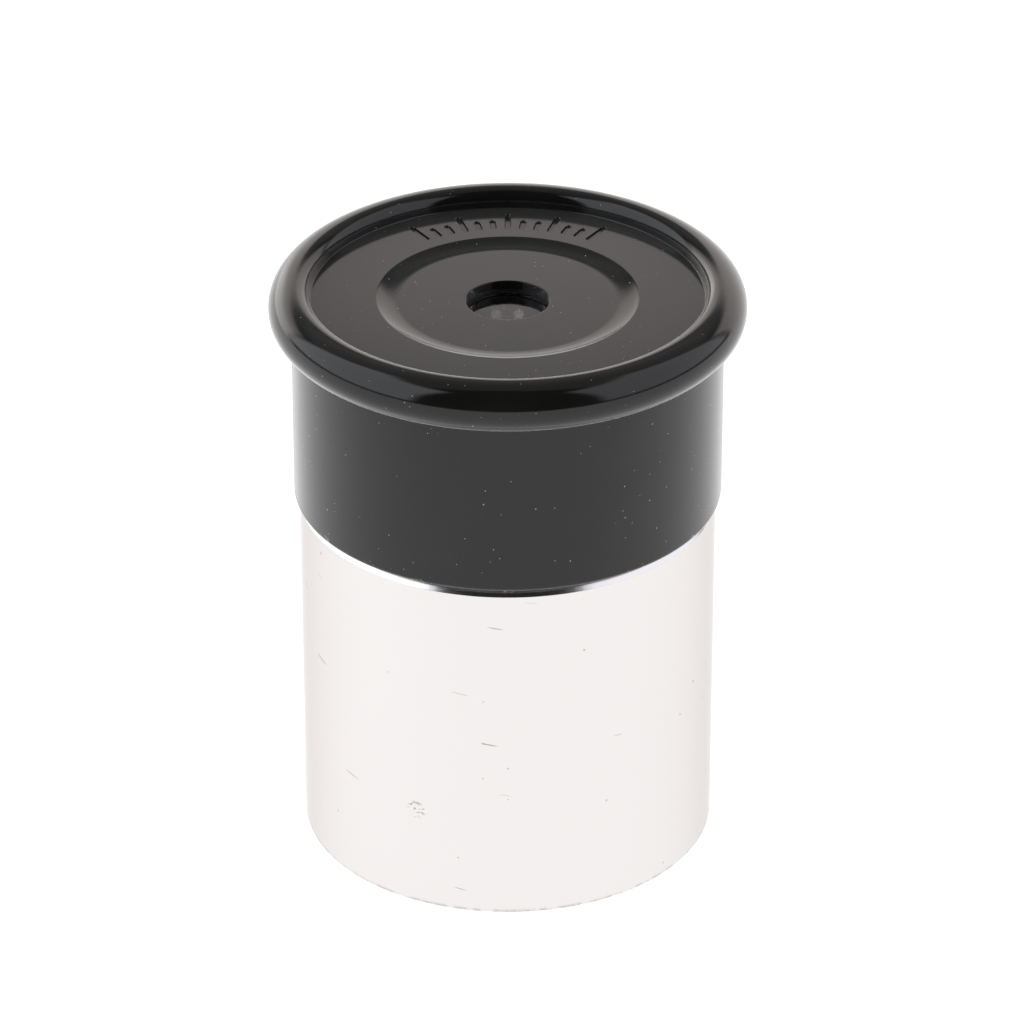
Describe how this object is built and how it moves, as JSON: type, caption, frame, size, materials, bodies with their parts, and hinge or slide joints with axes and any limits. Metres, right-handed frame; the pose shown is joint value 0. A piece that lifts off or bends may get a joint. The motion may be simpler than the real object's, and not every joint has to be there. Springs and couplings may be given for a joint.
{
  "type": "telescope eyepiece",
  "caption": "Short-focus telescope eyepiece: black moulded head with a rolled rim and a small eye hole, lens cell inside, on a bright metal push-in barrel.",
  "frame": {"origin": "centre of the barrel's open end, the face that the eyepiece stands on", "axes": "+Z along the optical axis from the open end of the barrel to the eye end; +Y towards the index marks on the head"},
  "size_m": [0.0278, 0.0278, 0.0357],
  "materials": {
    "head_plastic": "black moulded, glossy on top and satin round the skirt",
    "barrel_metal": "bright plated over a turned tube",
    "cell_plastic": "matte black moulded",
    "lens_glass": "polished",
    "black_metal": "blackened, matte",
    "fibre": "pressed fibre board"
  },
  "bodies": {
    "head": {"eye_shell": "head_plastic"},
    "cell": {"lens_cell": "cell_plastic", "seat_washer": "fibre", "eye_lens": "lens_glass", "lens_spacer": "black_metal", "field_lens": "lens_glass", "field_stop": "black_metal", "retaining_ring": "black_metal"},
    "barrel": {"barrel": "barrel_metal"}
  },
  "joints": [
    {"name": "cell_slide", "type": "slide", "parent": "head", "child": "cell", "axis": [0, 0, -1], "range_m": [0, 0.00413]},
    {"name": "barrel_screw", "type": "hinge", "parent": "cell", "child": "barrel", "pos_m": [0, 0, 0.024], "axis": [0, 0, -1], "range_deg": [0, 1980]}
  ],
  "couplings": [
    {"joint": "cell_slide", "follows": "barrel_screw", "m_per_rad": 0.00011937}
  ]
}
